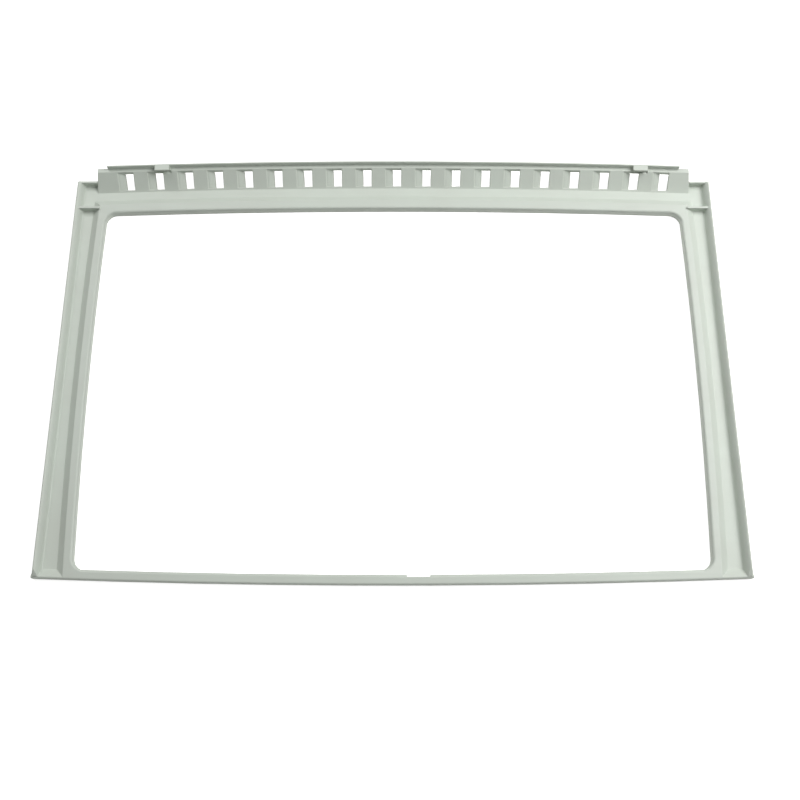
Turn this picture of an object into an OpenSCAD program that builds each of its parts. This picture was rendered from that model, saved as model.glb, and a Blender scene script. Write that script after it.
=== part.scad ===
// Refrigerator shelf frame, moulded in one piece from pale grey plastic.
// A raised rim runs round one large opening with bowed edges. A sunken channel lies outside
// it at each side, held in by a side wall that flares outward. Along the rear stands an
// inclined wall with a row of air windows, each with a slanted vane, and above it a flange,
// a lip and two hooks. The rim is hollow and ribbed below.
// X runs to the right, Y to the rear and Z up, and the base is Z = 0.

/* [Overall] */
// Width over the two side walls
frame_w = 600; // [540:5:700]
// Depth from the front corners to the rear faces of the corner pockets
frame_d = 374; // [320:2:440]
// How far the front edge bows forward at its middle
front_crown = 5.5; // [2:0.5:7]
// How far the rear wall bows backward at its middle
rear_crown = 5.5; // [2:0.5:7]

/* [Moulded walls] */
// Wall thickness of the hollow rim
skin_t = 2.4; // [1.8:0.1:2.8]
// Thickness of the channel floors
floor_t = 2.6; // [2:0.1:3.2]

/* [Rim round the opening] */
// Height of the rim
rim_z = 7.2; // [6.4:0.1:9]
// Width of the rim's top at the sides
rim_side_w = 7; // [6.5:0.5:12]
// Width of the rim's top at the rear
rim_rear_w = 8.8; // [6.5:0.1:12]
// Depth of the front rail, from its front face to the opening
front_rail_d = 8.5; // [7.5:0.1:14]
// Plan width of the slope from the rim's top down to a channel floor
slope_run = 6.5; // [4:0.5:7]
// Corner radius of the opening
opening_r = 10.5; // [8:0.5:24]
// How far each side of the opening draws in on its way to the front
side_crown = 4.5; // [2:0.5:6]
// Distance from the front corners back to where the opening is widest
widest_y = 210; // [180:5:240]
// Width of the bevel on the opening's top edge
bevel_w = 2.2; // [0.6:0.1:3]
// Radius of the front rail's top front edge
front_edge_r = 1.5; // [0.5:0.1:2.4]

/* [Side channels] */
// Width of a channel's floor
channel_w = 8.4; // [7:0.2:14]
// Height of a side wall above the floor
side_wall_h = 8.4; // [8:0.2:11]
// How far a side wall's inner face leans outward on its way up
side_wall_lean = 4.2; // [2:0.1:4.6]
// Thickness of a side wall
side_wall_t = 1.8; // [1.4:0.1:2.4]
// Radius of the hollow corner between a side wall and its floor
foot_r = 2; // [0.8:0.1:3]

/* [Corner pockets] */
// Distance from a pocket's rear face forward to the front face of its cross rib
pocket_d = 28.8; // [26:0.2:32]
// Thickness of a pocket's rear wall and of its cross rib
pocket_wall_t = 2; // [1.4:0.1:2.8]
// Height of the two above the floor
pocket_wall_h = 6.4; // [5.2:0.1:7]

/* [Front rail ends] */
// Depth of the level land in front of a channel
land_d = 1.8; // [1.6:0.2:6]
// How far each end of the front rail stands out beyond its side wall
ear_out = 1.5; // [0.5:0.1:3]
// Length of that end along the side
ear_len = 9; // [6:0.5:14]
// Plan length of the ramp in which a side wall comes down to the front rail
wall_end_run = 6; // [3:0.5:12]
// Plan length of the ramp in which it comes down to the pocket's rear wall
wall_rear_run = 3; // [1:0.5:6]

/* [Notch in the front rail] */
// Width of the notch
notch_w = 19.5; // [10:0.5:30]
// Depth of the notch
notch_d = 1.8; // [0.8:0.1:2.4]
// Distance of the notch's middle to the right of the centre line
notch_x = 22; // [-120:1:120]

/* [Inclined rear wall] */
// Width of the inclined wall
vent_w = 564; // [440:2:572]
// Plan run of its front face
vent_run = 15; // [11:0.5:18]
// Height of its front face above the floor
vent_rise = 12.5; // [10:0.5:18]
// How far each end of the wall draws in on its way up
vent_draw = 1.8; // [0.4:0.2:3]
// Thickness of the inclined wall
vent_t = 2.5; // [1.8:0.1:3]
// Distance from the rim's slope back to the wall's foot
rear_floor_w = 8.4; // [4:0.2:12]
// Distance from the pockets' rear faces forward to the wall's foot, at its ends
vent_foot_in = 9.5; // [8:0.1:12]
// Thickness of the gussets that close the wall's ends
gusset_t = 2; // [1.4:0.1:3]

/* [Air windows] */
// Number of windows
window_n = 19; // [9:2:19]
// Distance from one window to the next
window_pitch = 28.2; // [24:0.2:29]
// Width of a window
window_w = 14.8; // [10:0.2:18]
// Plan distance from the wall's foot to a window
window_sill = 1.6; // [1:0.1:4]
// Plan distance from a window to the top of the slope
window_head = 0.6; // [0.4:0.1:2]

/* [Air vanes] */
// How far a vane leads to the right on its way down
vane_run = 7; // [5:0.2:8]
// How far below the slope a vane starts
vane_sink = 1; // [0.2:0.1:1.5]
// How far a vane reaches down below the slope
vane_drop = 5.2; // [4:0.2:8]
// Thickness of a vane
vane_t = 1.6; // [1.2:0.1:2.2]

/* [Flange and lip] */
// Width of the flange and the lip
lip_w = 541; // [420:1:560]
// Depth of the flange, from the top of the slope back to the lip
flange_d = 3; // [2.4:0.1:8]
// Thickness of the flange
flange_t = 2; // [1.4:0.1:3]
// Height of the lip above the flange
lip_h = 4.6; // [3.5:0.1:8]
// Thickness of the lip
lip_t = 1.4; // [1:0.1:2.6]

/* [Hooks on the lip] */
// Width of a hook
hook_w = 13.5; // [8:0.5:16]
// Thickness of a hook's plate
hook_t = 1.8; // [1.2:0.1:2.6]
// How far a hook's plate reaches forward past the top of the slope
hook_reach = 2; // [0.5:0.1:3]
// Depth of the block that joins a hook's plate to the lip
hook_block_d = 1.6; // [0.8:0.1:2]
// Plan depth of the blind slot in the wall below a hook's tip
hook_slot_d = 2.2; // [1.2:0.1:3]
// Depth of that slot below the top of the slope
hook_slot_h = 1.8; // [1:0.1:2]
// Room that the slot leaves beside a hook, on each side
hook_slot_gap = 0.8; // [0.2:0.1:2]
// Which window a hook stands at, counted from each end of the row
hook_window = 2; // [1:1:4]

/* [Ribs below the rim] */
// Distance between ribs
rib_pitch = 47; // [30:1:90]
// Thickness of a rib
rib_t = 1.4; // [1:0.1:2]

/* [Hidden] */
plastic = "#c3cac1";

// Facets of a full circle, for round corners and for the long arcs, and steps in a small arc
$fn = 96;
long_fn = 720;
arc_steps = 6;
// Angle that a long arc is turned through, well past both ends of the frame
long_sweep = 11.2;
// How far a cutter runs past a face, one form runs into the next, and a trimmer reaches around
past = 1;
bite = 0.5;
around = 40;
// How far a round corner stands out past the lines that it joins, so that it crosses them
corner_cross = 0.05;

// Side wall: both faces are arcs about one line, at the height of the floor
flare_r = (side_wall_h * side_wall_h + side_wall_lean * side_wall_lean) / (2 * side_wall_lean);
flare_a = asin(side_wall_h / flare_r);
flare_out_r = flare_r - side_wall_t;
flare_mid_r = flare_r - side_wall_t / 2;
flare_x = frame_w / 2 + flare_out_r * cos(flare_a);
wall_foot_x = flare_x - flare_r;
side_wall_z = floor_t + side_wall_h;
pocket_wall_z = floor_t + pocket_wall_h;

// Half widths from the channel inward
slope_x = wall_foot_x - channel_w;
rim_x = slope_x - slope_run;
opening_x = rim_x - rim_side_w;
slope_grade = slope_run / (rim_z - floor_t);

// Long arcs of the front face and of the inclined wall's foot, with centres on the Y axis,
// and of the opening's sides. Their radii are whole millimetres.
function arc_radius(half, crown) = round((half * half + crown * crown) / (2 * crown));
front_r = arc_radius(frame_w / 2, front_crown);
front_y = front_r - front_crown;
side_r = arc_radius(widest_y - front_rail_d, side_crown);
vent_x = vent_w / 2;
vent_r = arc_radius(vent_x, rear_crown);
vent_foot_y = frame_d - vent_foot_in;
vent_y = vent_foot_y + rear_crown - vent_r;

// Distances behind the inclined wall's foot, less than zero in front of it
slope_v = -rear_floor_w;
rim_v = slope_v - slope_run;
opening_v = rim_v - rim_rear_w;

// Section of the inclined wall, its flange and its lip
vent_grade = vent_rise / vent_run;
vent_a = atan(vent_grade);
vent_skin = vent_t / sin(vent_a);
vent_z = floor_t + vent_rise;
lip_z = vent_z + lip_h;
lip_in = vent_run + flange_d;
lip_out = lip_in + lip_t;
vane_deep = vane_drop * cos(vent_a);
vane_skin = vane_t / cos(atan(vane_run / vane_deep));

// Middle of the frame's depth, which becomes Y = 0
middle_y = (vent_foot_y + rear_crown + lip_out - front_crown) / 2;

// Points of an arc of radius r about [x, y], from angle a to angle b
function arc(x, y, r, a, b) =
    [for (i = [0 : arc_steps]) let (t = a + (b - a) * i / arc_steps) [x + r * cos(t), y + r * sin(t)]];

// Points on the side wall's flare, at radius r, from height z0 above the floor to height z1
function flare(r, z0, z1) = arc(flare_x, floor_t, r, 180 - asin(z0 / r), 180 - asin(z1 / r));

// Distance from the rim's edge out to the slope at height z, the face moved inward by skin
function slope_out(z, skin) =
    slope_run - (z - floor_t) * slope_grade - skin * sqrt(1 + slope_grade * slope_grade);

// Distance behind the inclined wall's foot at height z, the face moved backward by back
function vent_v(z, back) = (z - floor_t) / vent_grade + back;

// How far the arc of the opening's side has drawn in at y
function side_in(y) = side_r - sqrt(side_r * side_r - (y - widest_y) * (y - widest_y));

// Half width of the inclined wall at height z
function vent_end(z) = vent_x - vent_draw * (z - floor_t) / vent_rise;

// Angle of window i about the centre of the rear arcs
function window_angle(i) = (i - (window_n - 1) / 2) * window_pitch / vent_r * 180 / PI;

// Outline of a shape from the points of its right half
function mirrored(half) =
    concat(half, [for (i = [len(half) - 1 : -1 : 0]) [-half[i][0], half[i][1]]]);

// Carries a section, drawn in X and Z, from y0 to y1
module along(y0, y1)
{
    translate([0, y1, 0])
        rotate([90, 0, 0])
            linear_extrude(y1 - y0)
                children();
}

// Carries a section, drawn in Y and Z, from x0 to x1
module across(x0, x1)
{
    translate([x0, 0, 0])
        rotate([90, 0, 90])
            linear_extrude(x1 - x0)
                children();
}

// Turns a section about the centre of the front arc. In the section X runs out from the
// front face, and Y is the height.
module front_turn()
{
    translate([0, front_y, 0])
        rotate_extrude(angle = long_sweep, start = -90 - long_sweep / 2, $fn = long_fn)
            translate([front_r, 0])
                children();
}

// Turns a section about the centre of the rear arcs. In the section X runs back from the
// inclined wall's foot, and Y is the height.
module rear_turn()
{
    translate([0, vent_y, 0])
        rotate_extrude(angle = long_sweep, start = 90 - long_sweep / 2, $fn = long_fn)
            translate([vent_r, 0])
                children();
}

// Turns a section about the centre of the arc of the opening's right side. In the section X
// runs out from that side, and Y is the height.
module side_turn()
{
    translate([opening_x - side_r, widest_y, 0])
        rotate_extrude(angle = long_sweep, start = -long_sweep / 2, $fn = long_fn)
            translate([side_r, 0])
                children();
}

// Puts a shape on the inclined wall's foot, turned to the arc. There X runs to the right
// along the foot and Y straight back from it.
module on_foot(angle)
{
    translate([0, vent_y, 0])
        rotate(-angle)
            translate([0, vent_r, 0])
                children();
}

// Draws a shape at the right, and mirrors it to the left
module both_sides()
{
    for (turn = [0, 1])
        mirror([turn, 0, 0])
            children();
}

// Keeps what a shape shares with its mirror image
module shared_by_sides()
{
    intersection()
    {
        children();
        mirror([1, 0, 0])
            children();
    }
}

// Centre of a round corner of the opening: it lies inside the side's arc, and reach away from
// the centre of a long arc at [0, y]. up is 1 at the rear and -1 at the front.
function corner_at(y, reach, up) =
    let (
        from = [opening_x - side_r, widest_y],
        side_reach = side_r - opening_r + corner_cross,
        gap = norm([0, y] - from),
        ahead = ([0, y] - from) / gap,
        along = (side_reach * side_reach - reach * reach + gap * gap) / (2 * gap),
        aside = up * sqrt(side_reach * side_reach - along * along)
    )
    from + along * ahead + aside * [-ahead[1], ahead[0]];

rear_reach = vent_r + opening_v - opening_r + corner_cross;
front_reach = front_r - front_rail_d - opening_r + corner_cross;
rear_corner = corner_at(vent_y, rear_reach, 1);
front_corner = corner_at(front_y, front_reach, -1);
corners = [[rear_corner, 1, rear_reach], [front_corner, -1, front_reach]];

// Plan of what lies outside a round corner about [0, 0], as wide as its room. That centre is
// at c in the frame, and it is reach away from the long arc's centre.
module corner_plan(c, up, reach, room)
{
    side_a = asin((c[1] - widest_y) / (side_r - opening_r + corner_cross));
    lean = asin(c[0] / reach);
    polygon([
        [0, 0],
        [room * cos(side_a), room * sin(side_a)],
        [room, up * room],
        [room * sin(lean), up * room * cos(lean)]
    ]);
}

// Outline of the opening in plan, grown outward by off
module opening_outline(off)
{
    r = opening_r + off;
    difference()
    {
        intersection()
        {
            shared_by_sides()
                translate([opening_x - side_r, widest_y])
                    circle(side_r + off, $fn = long_fn);
            translate([0, vent_y])
                circle(vent_r + opening_v + off, $fn = long_fn);
            translate([0, front_y])
                circle(front_r - front_rail_d + off, $fn = long_fn);
        }
        both_sides()
            for (c = corners)
                translate(c[0])
                    difference()
                    {
                        corner_plan(c[0], c[1], c[2], r + past);
                        circle(r);
                    }
    }
}

// Section inside a wall of the opening, from x0 to the wall at x1, with a bevel at the top
module bevel_section(x0, x1)
{
    polygon([
        [x0, -past],
        [x1, -past],
        [x1, rim_z - bevel_w],
        [x1 + bevel_w + past, rim_z + past],
        [x0, rim_z + past]
    ]);
}

// The opening's space, with its round corners and its bevelled top edge
module opening_form()
{
    wide = frame_w + around;
    deep = frame_d + around;
    difference()
    {
        intersection()
        {
            shared_by_sides()
                side_turn()
                    bevel_section(-wide, 0);
            rear_turn()
                bevel_section(-deep, opening_v);
            front_turn()
                bevel_section(-deep, -front_rail_d);
        }
        both_sides()
            for (c = corners)
                translate([c[0][0], c[0][1], 0])
                    difference()
                    {
                        translate([0, 0, -2 * past])
                            linear_extrude(rim_z + 4 * past)
                                corner_plan(c[0], c[1], c[2], opening_r + bevel_w + 2 * past);
                        rotate_extrude()
                            bevel_section(0, opening_r);
                    }
    }
}

// Ring inside the slopes at the sides and the rear, open to the front, each face moved in
// by skin. It runs past the top and the base.
module ring_form(skin)
{
    low = slope_out(-past, skin);
    high = slope_out(rim_z + past, skin);
    wide = frame_w + around;
    deep = frame_d + around;
    intersection()
    {
        shared_by_sides()
            side_turn()
                ring_section(-wide, rim_side_w, low, high);
        rear_turn()
            ring_section(-deep, rim_v, low, high);
    }
}

// Section inside a slope, from x0 to the rim's edge at x1
module ring_section(x0, x1, low, high)
{
    polygon([
        [x0, -past],
        [x1 + low, -past],
        [x1 + high, rim_z + past],
        [x0, rim_z + past]
    ]);
}

// Front rail over the whole width, with the ramp behind its land, cut to a plan outline
module rail_form(skin)
{
    intersection()
    {
        front_turn()
            polygon([
                [-land_d - slope_out(-past, skin), -past],
                [past, -past],
                [past, rim_z + past],
                [-land_d - slope_out(rim_z + past, skin), rim_z + past]
            ]);
        translate([0, 0, -past])
            linear_extrude(rim_z + 2 * past)
                children();
    }
}

// Ring and front rail, trimmed at the base, the top and the front face
module raised_form(skin)
{
    deep = frame_d + around;
    top = rim_z - skin;
    edge = skin > 0
        ? [[-skin, top]]
        : arc(-front_edge_r, rim_z - front_edge_r, front_edge_r, 0, 90);
    intersection()
    {
        union()
        {
            ring_form(skin);
            rail_form(skin)
                children();
        }
        front_turn()
            polygon(concat([[-deep, 0], [-skin, 0]], edge, [[-deep, top]]));
    }
}

// Plan of the front rail, with an ear at each end that runs back in at 45 degrees
module rail_plan()
{
    ear_x = frame_w / 2 + ear_out;
    ear_in = ear_out + side_wall_lean + side_wall_t;
    polygon(mirrored([
        [ear_x, -around],
        [ear_x, ear_len - ear_out],
        [ear_x - ear_in, ear_len - ear_out + ear_in],
        [ear_x - ear_in, around]
    ]));
}

// Front face of the notch in the front rail
rail_in_r = front_r - front_rail_d;
notch_y = front_y - sqrt(rail_in_r * rail_in_r - notch_x * notch_x) - notch_d;

// Ribs across the hollow of the rim
module ribs()
{
    side_mid = (rear_corner[1] + front_corner[1]) / 2;
    long_n = floor(rear_corner[0] / rib_pitch);
    side_n = floor((rear_corner[1] - side_mid) / rib_pitch);
    for (i = [-long_n : long_n])
        translate([i * rib_pitch - rib_t / 2, -around, -past])
            cube([rib_t, frame_d + 2 * around, rim_z + past]);
    for (i = [-side_n : side_n])
        translate([-frame_w / 2, side_mid + i * rib_pitch - rib_t / 2, -past])
            cube([frame_w, rib_t, rim_z + past]);
}

// Hollow of the rim and the front rail, open at the base
module rim_hollow()
{
    end_x = wall_foot_x - foot_r - past;
    difference()
    {
        raised_form(skin_t)
            translate([-end_x, -around])
                square([2 * end_x, 2 * around]);
        translate([0, 0, -past])
            linear_extrude(rim_z + past)
                opening_outline(skin_t);
        translate([notch_x - notch_w / 2 - skin_t, notch_y - skin_t, -past])
            cube([notch_w + 2 * skin_t, notch_d + 2 * skin_t, rim_z + past]);
        ribs();
    }
}

// Raised rim and front rail
module rim()
{
    difference()
    {
        raised_form(0)
            rail_plan();
        opening_form();
        translate([notch_x - notch_w / 2, notch_y, -past])
            cube([notch_w, notch_d + 2 * past, rim_z + 2 * past]);
        rim_hollow();
    }
}

// Floor of both channels, both pockets and the band between the rim and the rear wall
module floors()
{
    edge_x = wall_foot_x + bite;
    start_x = slope_x - around;
    linear_extrude(floor_t)
    {
        both_sides()
        {
            difference()
            {
                intersection()
                {
                    translate([start_x, 0])
                        square([edge_x - start_x, vent_foot_y]);
                    translate([0, front_y])
                        circle(front_r - land_d - slope_run + bite / 2, $fn = long_fn);
                }
                translate([opening_x - side_r, widest_y])
                    circle(side_r + rim_side_w + slope_run - bite / 2, $fn = long_fn);
            }
            translate([vent_x - bite, vent_foot_y - rear_floor_w / 2])
                square([edge_x - vent_x + bite, vent_foot_in + rear_floor_w / 2]);
        }
        intersection()
        {
            translate([-edge_x, vent_foot_y - rear_floor_w - slope_run])
                square([2 * edge_x, around]);
            translate([0, vent_y])
                difference()
                {
                    circle(vent_r + bite, $fn = long_fn);
                    circle(vent_r + slope_v - bite / 2, $fn = long_fn);
                }
        }
    }
}

// Space above a ramp in a side wall, from height z0 at y0 up to the wall's top at y1
module wall_ramp(y0, z0, y1)
{
    reach = past * sign(y1 - y0);
    lift = past * (side_wall_z - z0) / abs(y1 - y0);
    across(wall_foot_x - foot_r - past, frame_w / 2 + past)
        polygon([
            [y0 - reach, z0 - lift],
            [y1 + reach, side_wall_z + lift],
            [y0 - reach, side_wall_z + lift]
        ]);
}

// Side wall: it curves outward from a hollow corner at its floor, and comes down in a ramp
// at each end
module side_wall()
{
    foot_x = flare_x - sqrt(flare_r * flare_r - foot_r * foot_r);
    difference()
    {
        union()
        {
            along(front_edge_r, frame_d)
                polygon(concat(
                    [[wall_foot_x, 0], [flare_x - flare_out_r, 0]],
                    flare(flare_out_r, 0, flare_out_r * sin(flare_a)),
                    flare(flare_r, side_wall_h, foot_r + bite),
                    arc(foot_x - foot_r, floor_t + foot_r, foot_r, 0, -90),
                    [[foot_x - foot_r, floor_t - bite], [wall_foot_x, floor_t - bite]]
                ));
            ear_rise();
        }
        wall_ramp(front_edge_r, rim_z + bite, front_edge_r + wall_end_run);
        wall_ramp(frame_d, pocket_wall_z, frame_d - wall_rear_run);
    }
}

// Fills the room under the flare where the side wall stands on its ear
module ear_rise()
{
    high = flare_out_r * sin(flare_a);
    low = rim_z - bite - floor_t;
    intersection()
    {
        along(front_edge_r, around)
            polygon(concat(
                [[frame_w / 2, floor_t + low], [frame_w / 2, floor_t + high]],
                flare(flare_mid_r, high, low)
            ));
        linear_extrude(side_wall_z)
            rail_plan();
    }
}

// Rear wall and cross rib of a corner pocket. Both follow the side wall's flare.
module pocket_walls()
{
    outer = flare(flare_mid_r, 0, pocket_wall_h);
    rib_y = frame_d - pocket_d;
    rib_in = side_in(rib_y) + bite;
    along(frame_d - pocket_wall_t, frame_d)
        polygon(concat(
            [[vent_x - bite, pocket_wall_z], [vent_x - bite, 0], [flare_x - flare_mid_r, 0]],
            outer
        ));
    along(rib_y, rib_y + pocket_wall_t)
        polygon(concat(
            [[rim_x - rib_in, pocket_wall_z], [rim_x - rib_in, rim_z - bite]],
            [[slope_x - rib_in, floor_t - bite], [flare_x - flare_mid_r, floor_t - bite]],
            outer
        ));
}

// Room between the inclined wall's two ends, which draw in on their way up
module vent_ends()
{
    along(0, frame_d + around)
        polygon(mirrored([[vent_end(-past), -past], [vent_end(vent_z + past), vent_z + past]]));
}

// Inclined rear wall with its windows, flange and lip
module vent_wall()
{
    difference()
    {
        union()
        {
            intersection()
            {
                rear_turn()
                    polygon([
                        [vent_v(0, 0), 0],
                        [vent_v(0, vent_skin), 0],
                        [vent_v(vent_z, vent_skin), vent_z],
                        [vent_run, vent_z]
                    ]);
                vent_ends();
            }
            intersection()
            {
                rear_turn()
                    polygon([
                        [vent_v(vent_z - flange_t, vent_skin / 2), vent_z - flange_t],
                        [lip_out, vent_z - flange_t],
                        [lip_out, lip_z],
                        [lip_in, lip_z],
                        [lip_in, vent_z],
                        [vent_v(vent_z, vent_skin / 2), vent_z]
                    ]);
                translate([-lip_w / 2, 0, -past])
                    cube([lip_w, frame_d + around, lip_z + 2 * past]);
            }
        }
        for (i = [0 : window_n - 1])
            on_foot(window_angle(i))
                translate([-window_w / 2, window_sill, -past])
                    cube([window_w, vent_run - window_head - window_sill, vent_z + 2 * past]);
        at_hooks()
            translate([-hook_w / 2 - hook_slot_gap, vent_run - hook_reach, vent_z - hook_slot_h])
                cube([hook_w + 2 * hook_slot_gap, hook_slot_d, hook_slot_h + past]);
    }
}

// Gusset that closes an end of the inclined wall, down to the base
module gusset()
{
    intersection()
    {
        across(vent_x - vent_draw / 2 - gusset_t, vent_x + past)
            translate([vent_foot_y, 0])
                polygon([
                    [vent_v(0, vent_skin / 2), 0],
                    [vent_foot_in, 0],
                    [vent_foot_in, floor_t + (vent_foot_in - vent_skin / 2) * vent_grade]
                ]);
        vent_ends();
    }
}

// Slanted vane in window i. It starts at the window's left edge and leads air to the right.
module vane(i)
{
    start = vane_run * vane_sink / vane_deep;
    on_foot(window_angle(i))
        intersection()
        {
            translate([-window_w / 2, 0, floor_t])
                rotate([vent_a, 0, 0])
                    along(-around, around)
                        polygon([
                            [start - vane_skin, -vane_sink],
                            [start, -vane_sink],
                            [vane_run, -vane_deep],
                            [vane_run - vane_skin, -vane_deep]
                        ]);
            translate([-around, window_sill - bite, 0])
                cube([2 * around, vent_run - window_head - window_sill + 2 * bite, vent_z]);
        }
}

// Repeats a shape at the two hooks, each over the right edge of its window
module at_hooks()
{
    for (i = [hook_window - 1, window_n - hook_window])
        on_foot(window_angle(i))
            translate([window_w / 2, 0, 0])
                children();
}

// Hook: a plate over the top of the slope, on a block in front of the lip
module hook()
{
    tip = vent_run - hook_reach;
    root = lip_in - hook_block_d;
    back = lip_in + lip_t / 2;
    across(-hook_w / 2, hook_w / 2)
        polygon([
            [tip, lip_z - hook_t],
            [root, lip_z - hook_t],
            [root, vent_z - bite],
            [back, vent_z - bite],
            [back, lip_z],
            [tip, lip_z]
        ]);
}

// The whole moulding
module shelf_frame()
{
    color(plastic)
        translate([0, -middle_y, 0])
        {
            rim();
            floors();
            both_sides()
            {
                side_wall();
                pocket_walls();
                gusset();
            }
            vent_wall();
            for (i = [0 : window_n - 1])
                vane(i);
            at_hooks()
                hook();
        }
}

shelf_frame();
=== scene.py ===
# %% [markdown]
# # A refrigerator shelf frame, moulded in one piece
#
# The object is a flat plastic frame round one large opening. Sunken channels run along
# its sides, and an inclined wall with a row of air windows closes its rear. It is a
# single injection moulding, so the scene has one piece, and nearly all of its look is
# in how its edges, its satin surface and the light on it are made.
#
# The solid model comes first. It has every true shape and size, in metres.

# %% Load the solid frame
import math

import bpy
import numpy as np
from mathutils import Matrix, Vector


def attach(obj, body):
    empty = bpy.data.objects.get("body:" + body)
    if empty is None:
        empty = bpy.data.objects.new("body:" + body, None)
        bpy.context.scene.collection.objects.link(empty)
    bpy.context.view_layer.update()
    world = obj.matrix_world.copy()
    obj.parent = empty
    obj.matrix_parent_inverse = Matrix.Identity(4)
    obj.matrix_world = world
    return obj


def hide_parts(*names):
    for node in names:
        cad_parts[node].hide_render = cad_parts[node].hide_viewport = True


MM = 0.001

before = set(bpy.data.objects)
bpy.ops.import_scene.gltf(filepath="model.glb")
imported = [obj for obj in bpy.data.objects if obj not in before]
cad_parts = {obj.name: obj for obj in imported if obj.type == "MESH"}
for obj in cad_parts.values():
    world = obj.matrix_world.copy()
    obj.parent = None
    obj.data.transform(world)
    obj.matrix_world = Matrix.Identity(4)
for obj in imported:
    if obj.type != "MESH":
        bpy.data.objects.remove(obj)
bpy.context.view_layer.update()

# %% [markdown]
# ## The camera
#
# The photograph looks down on the frame from in front, steeply enough that the depth
# lines only lean in a little. The far edge is shorter than the near one by an eighth,
# and that fixes how far away the lens is. The place, the angles and the focal length
# below put the four outer corners on those of the photograph. The film is 36 mm wide.

# %% Place the camera
FILM_WIDTH = 36.0
IMAGE_WIDTH_PX = 800
FOCAL_PX = 948.9
CAMERA_PLACE = (6.2 * MM, -294.0 * MM, 804.4 * MM)
CAMERA_DOWN = math.radians(72.08)
CAMERA_TURN = math.radians(-0.023)
CAMERA_ROLL = math.radians(0.022)
NEAREST_SEEN = 10 * MM


def add_object(name, data):
    """A new object that holds the data, linked into the scene."""
    thing = bpy.data.objects.new(name, data)
    bpy.context.scene.collection.objects.link(thing)
    return thing


camera_data = bpy.data.cameras.new("camera")
camera_data.sensor_width = FILM_WIDTH
camera_data.lens = FOCAL_PX / IMAGE_WIDTH_PX * FILM_WIDTH
camera_data.clip_start = NEAREST_SEEN
camera = add_object("camera", camera_data)
camera.matrix_world = (
    Matrix.Translation(CAMERA_PLACE)
    @ Matrix.Rotation(CAMERA_TURN, 4, "Z")
    @ Matrix.Rotation(math.pi / 2 - CAMERA_DOWN, 4, "X")
    @ Matrix.Rotation(CAMERA_ROLL, 4, "Z")
)
bpy.context.scene.camera = camera
print("lens, mm:", round(camera_data.lens, 2))

# %% [markdown]
# ## The moulding's surface
#
# The solid's mesh is loose triangles. Three corners that meet are three separate
# points, so nothing can be smoothed across them. The same triangles are put on shared
# points here: points that round to the same place on a very fine grid become one. An
# edge between two facets of one round corner is then smoothed, and an edge between two
# real faces stays crisp.

# %% Join the triangles into one surface
POINT_GRID = 0.002 * MM
CRISP_ANGLE = math.radians(32)


def in_threes(items, name, per_item=3, kind=float):
    """What the items have under that name, in rows of three: the X, Y and Z of a point
    or a direction, or the three corners of a triangle."""
    values = np.empty(len(items) * per_item, dtype=kind)
    items.foreach_get(name, values)
    return values.reshape(-1, 3)


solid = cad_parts["shelf_frame"].data
points = in_threes(solid.vertices, "co")
triangles = in_threes(solid.loops, "vertex_index", per_item=1, kind=np.int32)
on_grid = np.round(points / POINT_GRID).astype(np.int64)
_, first, shared = np.unique(on_grid, axis=0, return_index=True, return_inverse=True)
joined = shared.reshape(-1)[triangles]
# A triangle with two corners on the same point has no face, so it is left out.
whole = (joined != np.roll(joined, 1, axis=1)).all(axis=1)

joined_mesh = bpy.data.meshes.new("moulding")
joined_mesh.from_pydata(points[first].tolist(), [], joined[whole].tolist())
joined_mesh.shade_smooth()
joined_mesh.set_sharp_from_angle(angle=CRISP_ANGLE)
print("points before and after joining:", len(points), len(first))

# %% [markdown]
# Each corner of a face takes its direction mostly from the largest face beside it,
# which keeps the flat faces flat. The Weighted Normal modifier works that out, and its
# result becomes the mesh, so that it can be changed further.

# %% Keep the flat faces flat
moulding = add_object("moulding", joined_mesh)
evening = moulding.modifiers.new("flat_faces_stay_flat", "WEIGHTED_NORMAL")
evening.mode = "FACE_AREA"
evening.keep_sharp = True
evened = moulding.evaluated_get(bpy.context.evaluated_depsgraph_get())
surface_mesh = bpy.data.meshes.new_from_object(evened)
moulding.modifiers.clear()
moulding.data = surface_mesh
print("triangles:", len(surface_mesh.polygons))

# %% [markdown]
# The opening's top edge is a flat bevel in the solid, at 45 degrees. On the real frame
# it is rounded, so the light should roll over it. Every face of the bevel looks
# straight up along its top edge and level along its foot, and smoothly turns in
# between. The rim's top and the wall below then stay flat.

# %% Let the light roll over the opening's bevel
RIM_TOP = 7.2 * MM
BEVEL_FOOT = 5.0 * MM
BEVEL_ANGLE = math.radians(45)
HEIGHT_SLACK = 0.05 * MM
TILT_SLACK = 0.01

corner_point = in_threes(surface_mesh.loops, "vertex_index", per_item=1, kind=np.int32)
height = in_threes(surface_mesh.vertices, "co")[corner_point, 2]
tilt = in_threes(surface_mesh.polygons, "normal")[:, 2]
on_bevel = (
    (np.abs(tilt - math.cos(BEVEL_ANGLE)) < TILT_SLACK)
    & (height.min(axis=1) > BEVEL_FOOT - HEIGHT_SLACK)
    & (height.max(axis=1) < RIM_TOP + HEIGHT_SLACK)
)
at_top = (on_bevel[:, None] & (height > RIM_TOP - HEIGHT_SLACK)).reshape(-1)
at_foot = (on_bevel[:, None] & (height < BEVEL_FOOT + HEIGHT_SLACK)).reshape(-1)

facing = in_threes(surface_mesh.corner_normals, "vector")
facing[at_top] = (0, 0, 1)
facing[at_foot, 2] = 0
facing[at_foot] /= np.linalg.norm(facing[at_foot], axis=1, keepdims=True)
surface_mesh.normals_split_custom_set(facing.tolist())
print("faces of the bevel:", int(on_bevel.sum()))

# %% [markdown]
# The finished surface takes the solid's place. It moves with the frame's only body, and
# has the finish of its plastic.

# %% Put the surface in the solid's place
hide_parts("shelf_frame")
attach(moulding, "root")
print("in place:", moulding.name)

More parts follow.
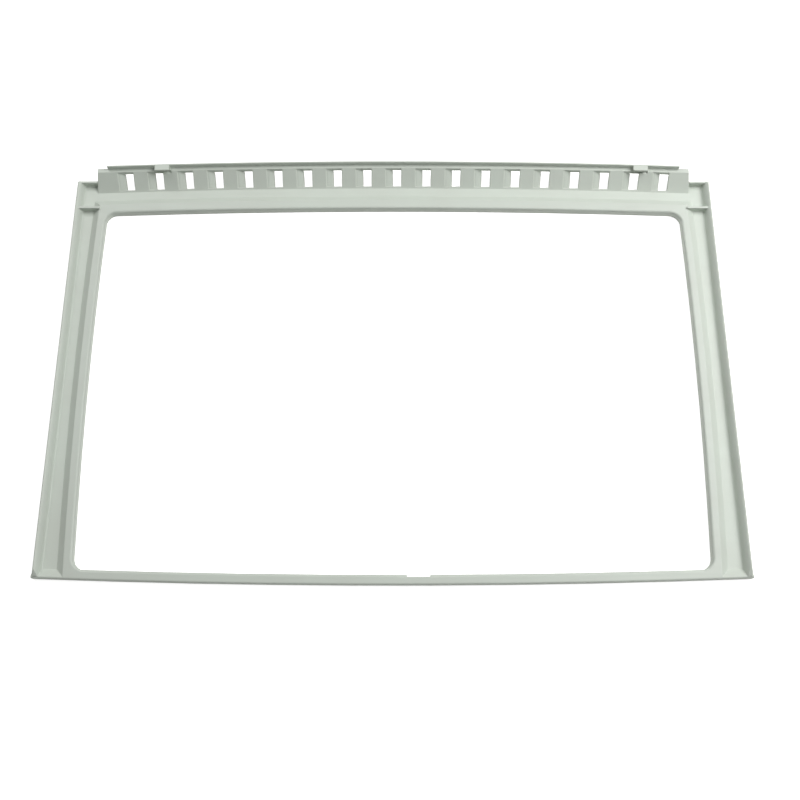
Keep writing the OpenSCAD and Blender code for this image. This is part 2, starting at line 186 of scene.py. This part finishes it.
# %% [markdown]
# ## One way to write colours and nodes
#
# Colours are written as sRGB hex values, as a paint chart gives them, and one function
# turns them to the linear values that light is added up in. Two more empty a node tree
# and add a node to it, with its settings and links.
#
# Most sockets go by their names. A Mix node repeats the same names for each kind of
# value that it can mix, so its sockets for colours go by their numbers.

# %% Colour and node helpers
MIX_A = 6
MIX_B = 7
MIX_RESULT = 2


def linear(hex_value):
    """Linear RGBA of an sRGB hex value. A value v from nought to 0.04045 becomes
    v / 12.92, and one up to 1 becomes ((v + 0.055) / 1.055) to the power of 2.4."""
    srgb = np.array([int(hex_value[i : i + 2], 16) / 255 for i in (1, 3, 5)])
    low = srgb / 12.92
    high = ((srgb + 0.055) / 1.055) ** 2.4
    return (*np.where(srgb <= 0.04045, low, high).tolist(), 1.0)


def empty_tree(owner):
    """The node tree of a material or a world, with nothing in it yet."""
    owner.use_nodes = True
    owner.node_tree.nodes.clear()
    return owner.node_tree


def add_node(tree, kind, settings=None, inputs=None, links=None):
    """Adds a node. settings are its properties, inputs the constants on its sockets,
    and links the output sockets that feed it."""
    node = tree.nodes.new(kind)
    for name, value in (settings or {}).items():
        setattr(node, name, value)
    for socket, value in (inputs or {}).items():
        node.inputs[socket].default_value = value
    for socket, source in (links or {}).items():
        tree.links.new(source, node.inputs[socket])
    return node


print("mid grey, linear:", round(linear("#808080")[0], 3))

# %% [markdown]
# ## Satin polystyrene
#
# Refrigerator shelves are moulded from high-impact polystyrene. Spark erosion leaves
# the mould with a fine, even grain, so the plastic comes out satin, with a soft sheen.
#
# The colour starts from two close greys, one greener and one warmer, in soft clouds:
# the melt flows unevenly, and years of wiping fade it unevenly too.

# %% Colour the plastic
PLASTIC_COLOUR = "#cad3c9"
PLASTIC_SHADE = "#c1c6bd"
CLOUD_SIZE = 60 * MM

satin = bpy.data.materials.new("satin_polystyrene")
satin_tree = empty_tree(satin)
place = add_node(satin_tree, "ShaderNodeTexCoord")
clouds = add_node(
    satin_tree,
    "ShaderNodeTexNoise",
    inputs={"Scale": 1 / CLOUD_SIZE, "Detail": 3.0, "Roughness": 0.55},
    links={"Vector": place.outputs["Object"]},
)
tone = add_node(
    satin_tree,
    "ShaderNodeMix",
    settings={"data_type": "RGBA"},
    inputs={MIX_A: linear(PLASTIC_SHADE), MIX_B: linear(PLASTIC_COLOUR)},
    links={"Factor": clouds.outputs["Fac"]},
)
print(
    "plastic, linear green:",
    [round(linear(colour)[1], 3) for colour in (PLASTIC_SHADE, PLASTIC_COLOUR)],
)

# %% [markdown]
# ## Round edges with a painted highlight
#
# A mould can't be cut with knife edges, so every edge of a moulding has a radius of
# about a millimetre. Rounding the mesh would need a very fine one. The Bevel node gives
# the same look: near an edge it bends the direction that the light sees, as the radius
# would.
#
# How far it bends is also a measure of how near an edge is. There the plastic is
# painted a little paler, a painted highlight where light catches the rounded edge. The
# bend is the angle between the bent direction and the face's own, so its cosine is one
# on a flat face and falls towards an edge.

# %% Round the edges and paint their highlight
# A paler colour painted along the edges, as their highlight, with how much of it shows.
PLASTIC_EDGE_HIGHLIGHT = "#d6dbd2"
EDGE_RADIUS = 1.2 * MM
EDGE_SAMPLES = 8
HIGHLIGHT_FROM = 0.995
HIGHLIGHT_TO = 0.9
HIGHLIGHT_MOST = 0.6

soft_edges = add_node(
    satin_tree,
    "ShaderNodeBevel",
    settings={"samples": EDGE_SAMPLES},
    inputs={"Radius": EDGE_RADIUS},
)
face = add_node(satin_tree, "ShaderNodeNewGeometry")
bend = add_node(
    satin_tree,
    "ShaderNodeVectorMath",
    settings={"operation": "DOT_PRODUCT"},
    links={0: soft_edges.outputs["Normal"], 1: face.outputs["Normal"]},
)
# How much painted highlight an edge gets, from how near it is.
edge_highlight = add_node(
    satin_tree,
    "ShaderNodeMapRange",
    inputs={
        "From Min": HIGHLIGHT_FROM,
        "From Max": HIGHLIGHT_TO,
        "To Min": 0.0,
        "To Max": HIGHLIGHT_MOST,
    },
    links={"Value": bend.outputs["Value"]},
)
# The plastic's colour with the painted edge highlight mixed in.
highlighted_tone = add_node(
    satin_tree,
    "ShaderNodeMix",
    settings={"data_type": "RGBA"},
    inputs={MIX_B: linear(PLASTIC_EDGE_HIGHLIGHT)},
    links={"Factor": edge_highlight.outputs["Result"], MIX_A: tone.outputs[MIX_RESULT]},
)
print("edge radius, mm:", round(EDGE_RADIUS / MM, 2))

# %% [markdown]
# ## The grain
#
# The grain of the mould bends the light a little everywhere. The true grain is about
# 0.1 mm, too fine to show here, so it is drawn at 0.6 mm, and as shallow as it is in
# truth.

# %% Add the grain
GRAIN_SIZE = 0.6 * MM
GRAIN_DEPTH = 0.02 * MM
GRAIN_STRENGTH = 0.5

grain = add_node(
    satin_tree,
    "ShaderNodeTexNoise",
    inputs={"Scale": 1 / GRAIN_SIZE, "Detail": 2.0},
    links={"Vector": place.outputs["Object"]},
)
relief = add_node(
    satin_tree,
    "ShaderNodeBump",
    inputs={"Strength": GRAIN_STRENGTH, "Distance": GRAIN_DEPTH},
    links={"Height": grain.outputs["Fac"], "Normal": soft_edges.outputs["Normal"]},
)
print("grain size, mm:", round(GRAIN_SIZE / MM, 2))

# %% [markdown]
# ## Smears and sheen
#
# Wiping leaves long faint smears that only show in the sheen, so they change the
# roughness and not the colour. They run along the long rails, and are drawn by
# stretching a noise along X. The noise mostly stays in the middle of its range, and
# that part of it becomes the whole range of roughness. The index of refraction is that
# of polystyrene.

# %% Add the smears and the sheen
SMEAR_LENGTH = 40 * MM
SMEAR_WIDTH = 3 * MM
SMEARS_FROM = 0.3
SMEARS_TO = 0.7
SMOOTHEST = 0.5
ROUGHEST = 0.62
POLYSTYRENE_IOR = 1.59

along_rails = add_node(
    satin_tree,
    "ShaderNodeMapping",
    inputs={"Scale": (1 / SMEAR_LENGTH, 1 / SMEAR_WIDTH, 1 / SMEAR_WIDTH)},
    links={"Vector": place.outputs["Object"]},
)
smears = add_node(
    satin_tree,
    "ShaderNodeTexNoise",
    inputs={"Scale": 1.0, "Detail": 4.0, "Roughness": 0.6},
    links={"Vector": along_rails.outputs["Vector"]},
)
sheen = add_node(
    satin_tree,
    "ShaderNodeMapRange",
    inputs={
        "From Min": SMEARS_FROM,
        "From Max": SMEARS_TO,
        "To Min": SMOOTHEST,
        "To Max": ROUGHEST,
    },
    links={"Value": smears.outputs["Fac"]},
)
surface = add_node(
    satin_tree,
    "ShaderNodeBsdfPrincipled",
    inputs={"IOR": POLYSTYRENE_IOR},
    links={
        "Base Color": highlighted_tone.outputs[MIX_RESULT],
        "Roughness": sheen.outputs["Result"],
        "Normal": relief.outputs["Normal"],
    },
)
add_node(
    satin_tree, "ShaderNodeOutputMaterial", links={"Surface": surface.outputs["BSDF"]}
)
surface_mesh.materials.append(satin)
print("material:", satin.name)

# %% [markdown]
# ## The floor
#
# The photograph has a white ground, and the scene a sheet of pale paper. It is so large
# that its edge is far off in every view.

# %% Lay the floor
FLOOR_SIZE = 40.0

corners = np.array([(-1, -1, 0), (1, -1, 0), (1, 1, 0), (-1, 1, 0)]) * FLOOR_SIZE / 2
floor_mesh = bpy.data.meshes.new("floor")
floor_mesh.from_pydata(corners.tolist(), [], [(0, 1, 2, 3)])
floor = add_object("floor", floor_mesh)
print("floor size, m:", FLOOR_SIZE)

# %% [markdown]
# More light on the frame would whiten the ground, but it would bleach the plastic too.
# So the paper glows, but only for the rays that look straight at it: those from the
# camera, in a reflection, or through something clear. The Light Path node tells them
# from the others. All other rays see plain pale paper, so it lights the frame from
# below as real paper would. The frame's soft shadow falls on it either way.

# %% Colour the floor
FLOOR_COLOUR = "#e6e6e4"
FLOOR_GLOW = 0.8


def seen_directly(tree):
    """One for the rays that look straight at a surface, and nought for those that carry
    light from one surface to another: the largest of three of Light Path's answers."""
    path = add_node(tree, "ShaderNodeLightPath")
    answer = path.outputs["Is Camera Ray"]
    for other in ("Is Glossy Ray", "Is Transmission Ray"):
        largest = add_node(
            tree,
            "ShaderNodeMath",
            settings={"operation": "MAXIMUM"},
            links={0: answer, 1: path.outputs[other]},
        )
        answer = largest.outputs["Value"]
    return answer


paper = bpy.data.materials.new("white_paper")
paper_tree = empty_tree(paper)
matt = add_node(
    paper_tree, "ShaderNodeBsdfDiffuse", inputs={"Color": linear(FLOOR_COLOUR)}
)
glow = add_node(paper_tree, "ShaderNodeEmission", inputs={"Strength": FLOOR_GLOW})
bright = add_node(
    paper_tree,
    "ShaderNodeAddShader",
    links={0: matt.outputs["BSDF"], 1: glow.outputs["Emission"]},
)
ground = add_node(
    paper_tree,
    "ShaderNodeMixShader",
    links={
        "Fac": seen_directly(paper_tree),
        1: matt.outputs["BSDF"],
        2: bright.outputs["Shader"],
    },
)
add_node(
    paper_tree, "ShaderNodeOutputMaterial", links={"Surface": ground.outputs["Shader"]}
)
floor_mesh.materials.append(paper)
print("material:", paper.name)

# %% [markdown]
# ## The studio
#
# The world adds a little light from all round. Seen directly, it is the studio's pale
# wall, as bright as the far floor, so that the two meet without a line. The Standard
# view shows every colour as it is written.

# %% Build the studio
STUDIO_COLOUR = "#ffffff"
FILL_STRENGTH = 0.15
WALL_STRENGTH = 0.92

world = bpy.data.worlds.new("studio")
bpy.context.scene.world = world
world_tree = empty_tree(world)
fill, wall = [
    add_node(
        world_tree,
        "ShaderNodeBackground",
        inputs={"Color": linear(STUDIO_COLOUR), "Strength": strength},
    )
    for strength in (FILL_STRENGTH, WALL_STRENGTH)
]
studio = add_node(
    world_tree,
    "ShaderNodeMixShader",
    links={
        "Fac": seen_directly(world_tree),
        1: fill.outputs["Background"],
        2: wall.outputs["Background"],
    },
)
add_node(
    world_tree, "ShaderNodeOutputWorld", links={"Surface": studio.outputs["Shader"]}
)
bpy.context.scene.view_settings.view_transform = "Standard"
print("world:", world.name)

# %% [markdown]
# ## The lamps
#
# The right channel and the right end of the rim are the brightest, and faces that look
# to the front are the darkest. So the main lamp stands to the right and a little
# behind, and a second one farther away, behind on the left. Both are wide, which keeps
# the shadows soft, and both point at the middle of the frame.

# %% Set up the lamps
# Each lamp has its place and its width in metres, and its power in watts.
LAMPS = {
    "main_lamp": ((0.80, 0.25, 1.00), 0.9, 14.0),
    "back_lamp": ((-0.90, 0.90, 1.27), 0.9, 10.0),
}

for name, (lamp_place, lamp_width, lamp_power) in LAMPS.items():
    lamp = bpy.data.lights.new(name, "AREA")
    lamp.shape = "DISK"
    lamp.size = lamp_width
    lamp.energy = lamp_power
    lamp_object = add_object(name, lamp)
    lamp_object.location = lamp_place
    to_frame = -Vector(lamp_place)
    lamp_object.rotation_euler = to_frame.to_track_quat("-Z", "Y").to_euler()
    print(name, "metres away:", round(to_frame.length, 2))
